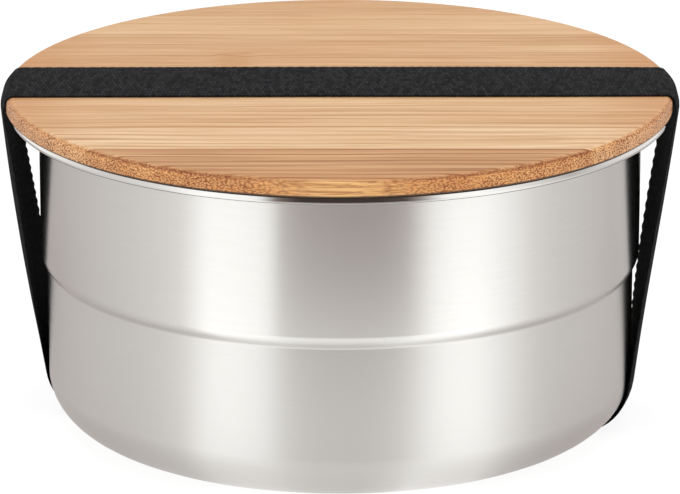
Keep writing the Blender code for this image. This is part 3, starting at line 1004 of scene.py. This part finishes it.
def seen_rays(tree):
    """1 for rays from the lens or off metal and glass, 0 for rays that only carry light."""
    rays = add_node(tree, "ShaderNodeLightPath")
    mirrored = add_node(tree, "ShaderNodeMath", {"operation": "MAXIMUM"}, {
        0: rays.outputs["Is Camera Ray"], 1: rays.outputs["Is Glossy Ray"],
    })
    return add_node(tree, "ShaderNodeMath", {"operation": "MAXIMUM"}, {
        0: mirrored.outputs[0], 1: rays.outputs["Is Transmission Ray"],
    }).outputs[0]


part_seen = add_node(tree, "ShaderNodeMath", times, {0: seen_rays(tree), 1: floor_share})
white = add_node(tree, "ShaderNodeEmission", None, {"Color": linear("#ffffff"), "Strength": floor_glow})
mixed = add_node(tree, "ShaderNodeMixShader", None, {
    0: part_seen.outputs[0], 1: shader.outputs[0], 2: white.outputs[0],
})
tree.links.new(mixed.outputs[0], tree.nodes["Material Output"].inputs["Surface"])
floor.data.materials.append(white_floor)

# A round paper tent that glows and shows only in reflections, most of all in the steel: its glow is painted
# light. Its panels are lighter where a soft box stands behind them, darker round the lens, and light and
# dark by turns at the back. Round the bowl's foot the paper is darker, a painted shadow of the bowl.
tent_radius = 1.2
tent_height = 1.2
tent_lift = 0.0004
tent_focus = (0.0, -upper_radius / 2, 0.0)
foot_shadow_zone = (0.085, 0.13)
near_zone = (0.205, 0.24)
wall_foot = 0.06
bpy.ops.object.select_all(action="DESELECT")
bpy.ops.mesh.primitive_circle_add(vertices=96, radius=tent_radius, fill_type="TRIFAN")
tent = bpy.context.object
tent.name = "paper_tent"
bpy.ops.object.mode_set(mode="EDIT")
bpy.ops.mesh.select_all(action="SELECT")
bpy.ops.mesh.region_to_loop()
bpy.ops.mesh.extrude_region_move(TRANSFORM_OT_translate={"value": (0, 0, tent_height)})
bpy.ops.object.mode_set(mode="OBJECT")
tent.location.z = cad_low[2] + tent_lift
tent.visible_camera = False
tent.visible_diffuse = False
tent.visible_shadow = False
tent.visible_transmission = False
tent_paper, tree, shader = new_finish("tent_paper")

# Bearing in degrees from the front and level of light, for the paper far out on the floor, nearer the
# bowl, round its foot in the painted shadow, and up the wall
far_panels = [
    (-180, 1.25), (-166, 1.15), (-154, 0.68), (-130, 0.62), (-96, 0.83), (-72, 0.97), (-61, 1.05),
    (-51, 1.5), (-31, 1.42), (-26, 1.36), (-22, 0.64), (-12, 0.505), (6, 0.435), (16, 0.445),
    (25, 0.53), (35, 1.26), (44, 1.44), (54, 1.5), (65, 1.34), (76, 1.06), (88, 0.92), (118, 0.7),
    (138, 0.74), (154, 0.68), (166, 1.15), (180, 1.25),
]
near_panels = [
    (-180, 1.2), (-166, 1.1), (-154, 0.58), (-130, 0.53), (-96, 0.75), (-72, 0.93), (-61, 1.08),
    (-51, 1.74), (-31, 1.64), (-26, 1.55), (-22, 1.39), (-12, 1.34), (6, 1.32), (16, 1.34),
    (25, 1.39), (35, 1.68), (44, 1.8), (54, 1.78), (65, 1.4), (76, 1.04), (88, 0.88), (118, 0.65),
    (138, 0.62), (154, 0.58), (166, 1.1), (180, 1.2),
]
foot_shadow_panels = [
    (-180, 0.5), (-90, 0.6), (-74, 0.66), (-62, 0.69), (-52, 0.73), (-41, 0.88), (-25, 0.9),
    (-10, 0.8), (10, 0.78), (20, 0.9), (30, 1.14), (45, 0.95), (55, 0.85), (66, 0.55), (90, 0.5),
    (180, 0.5),
]
wall_panels = [
    (-180, 0.65), (-162, 0.7), (-145, 1.3), (-120, 1.35), (-100, 1.1), (-85, 0.95), (-66, 1.1), (-48, 1.55),
    (-29, 1.4), (-22, 0.25), (-14, 0.07), (14, 0.07), (23, 0.12), (29, 0.5), (36, 1.4), (48, 1.55),
    (66, 1.15), (85, 0.7), (110, 1.1), (145, 1.3), (162, 0.7), (180, 0.65),
]
tent_place = add_node(tree, "ShaderNodeTexCoord").outputs["Object"]
seen_from = add_node(tree, "ShaderNodeVectorMath", {"operation": "SUBTRACT"}, {
    0: tent_place, 1: tent_focus,
})
axes = add_node(tree, "ShaderNodeSeparateXYZ", None, {0: seen_from.outputs[0]})
front = add_node(tree, "ShaderNodeMath", times, {0: axes.outputs["Y"], 1: -1.0})
bearing = add_node(tree, "ShaderNodeMath", {"operation": "ARCTAN2"}, {
    0: axes.outputs["X"], 1: front.outputs[0],
})
share = add_node(tree, "ShaderNodeMapRange", None, {
    "Value": bearing.outputs[0], "From Min": -math.pi, "From Max": math.pi,
})


def paper_tones(panels):
    """Paper tones by bearing, warmer where the paper is dim and cooler where it is bright."""
    plain_level, dim_span, bright_span = 0.72, 0.18, 0.68
    plain_green, dim_green, bright_green = 0.975, 0.06, 0.045
    plain_blue, dim_blue, bright_blue = 0.98, 0.085, 0.06
    ramp = add_node(tree, "ShaderNodeValToRGB", None, {"Fac": share.outputs[0]})
    stops = ramp.color_ramp.elements
    stops.remove(stops[1])
    for number, (degrees, level) in enumerate(panels):
        stop = stops[0] if number == 0 else stops.new(degrees / 360 + 0.5)
        stop.position = degrees / 360 + 0.5
        dim = max(0.0, plain_level - level) / dim_span
        bright = min(1.0, max(0.0, level - plain_level) / bright_span)
        green = plain_green - dim_green * dim + bright_green * bright
        blue = plain_blue - dim_blue * dim + bright_blue * bright
        stop.color = (level, level * green, level * blue, 1.0)
    return ramp.outputs["Color"]


flat_place = add_node(tree, "ShaderNodeVectorMath", times, {0: tent_place, 1: (1, 1, 0)})
from_axis = add_node(tree, "ShaderNodeVectorMath", {"operation": "LENGTH"}, {0: flat_place.outputs[0]})
# Painted shadow: near the bowl's foot the paper takes the darker foot tones
foot = add_node(tree, "ShaderNodeMapRange", eased, {
    "Value": from_axis.outputs["Value"], "From Min": foot_shadow_zone[0], "From Max": foot_shadow_zone[1],
    "To Min": 0.7, "To Max": 0.0,
})
far = add_node(tree, "ShaderNodeMapRange", eased, {
    "Value": from_axis.outputs["Value"], "From Min": near_zone[0], "From Max": near_zone[1],
})
risen = add_node(tree, "ShaderNodeMapRange", eased, {
    "Value": axes.outputs["Z"], "From Min": 0.0, "From Max": wall_foot,
})
near_paper = add_node(tree, "ShaderNodeMix", in_colour, {
    0: foot.outputs[0], 6: paper_tones(near_panels), 7: paper_tones(foot_shadow_panels),
})
floor_paper = add_node(tree, "ShaderNodeMix", in_colour, {
    0: far.outputs[0], 6: near_paper.outputs[2], 7: paper_tones(far_panels),
})
paper = add_node(tree, "ShaderNodeMix", in_colour, {
    0: risen.outputs[0], 6: floor_paper.outputs[2], 7: paper_tones(wall_panels),
})
glow = add_node(tree, "ShaderNodeEmission", None, {"Color": paper.outputs[2], "Strength": 1.0})
tree.links.new(glow.outputs[0], tree.nodes["Material Output"].inputs["Surface"])
tent.data.materials.append(tent_paper)

world = bpy.data.worlds.new("white_studio")
bpy.context.scene.world = world
world.use_nodes = True
tree = world.node_tree
fill_level = 0.4
level = add_node(tree, "ShaderNodeMapRange", None, {
    "Value": seen_rays(tree), "To Min": fill_level, "To Max": 1.0,
})
tree.links.new(level.outputs["Result"], tree.nodes["Background"].inputs["Strength"])
tree.nodes["Background"].inputs["Color"].default_value = linear("#ffffff")


def soft_box(name, azimuth, elevation, distance, width, height, power):
    """An area lamp aimed at the box; azimuth 0 is the front, positive to the right."""
    lamp = bpy.data.lights.new(name, "AREA")
    lamp.shape = "RECTANGLE"
    lamp.size = width
    lamp.size_y = height
    lamp.energy = power
    holder = bpy.data.objects.new(name, lamp)
    bpy.context.scene.collection.objects.link(holder)
    turn, rise = math.radians(azimuth), math.radians(elevation)
    box_middle = 0.05
    aim = Vector((0, 0, box_middle))
    away = Vector((math.sin(turn) * math.cos(rise), -math.cos(turn) * math.cos(rise), math.sin(rise)))
    holder.location = aim + away * distance
    holder.rotation_euler = (-away).to_track_quat("-Z", "Y").to_euler()
    holder.visible_glossy = False


soft_box("left_soft_box", azimuth=-40, elevation=22, distance=1.2, width=0.55, height=1.0, power=4)
soft_box("right_soft_box", azimuth=52, elevation=22, distance=1.2, width=0.7, height=1.0, power=4)
soft_box("top_soft_box", azimuth=0, elevation=80, distance=1.3, width=1.2, height=1.2, power=7.5)

# Camera
# A long lens that looks at the middle of the box from the front and from a little above the lid, as the
# photograph was taken. All of the box is sharp.
view_distance = 1.3696
view_elevation = math.radians(17.646)
aim_height = 0.04727
lens_pixels = 5030
frame_width_pixels = 680
camera = bpy.data.objects.new("camera", bpy.data.cameras.new("camera"))
bpy.context.scene.collection.objects.link(camera)
camera.data.sensor_width = 36.0
camera.data.lens = lens_pixels * camera.data.sensor_width / frame_width_pixels
camera.data.clip_end = 20.0
camera.location = (
    0.0,
    -view_distance * math.cos(view_elevation),
    aim_height + view_distance * math.sin(view_elevation),
)
camera.rotation_euler = (math.pi / 2 - view_elevation, 0.0, 0.0)
bpy.context.scene.camera = camera
bpy.context.scene.view_settings.view_transform = "Standard"
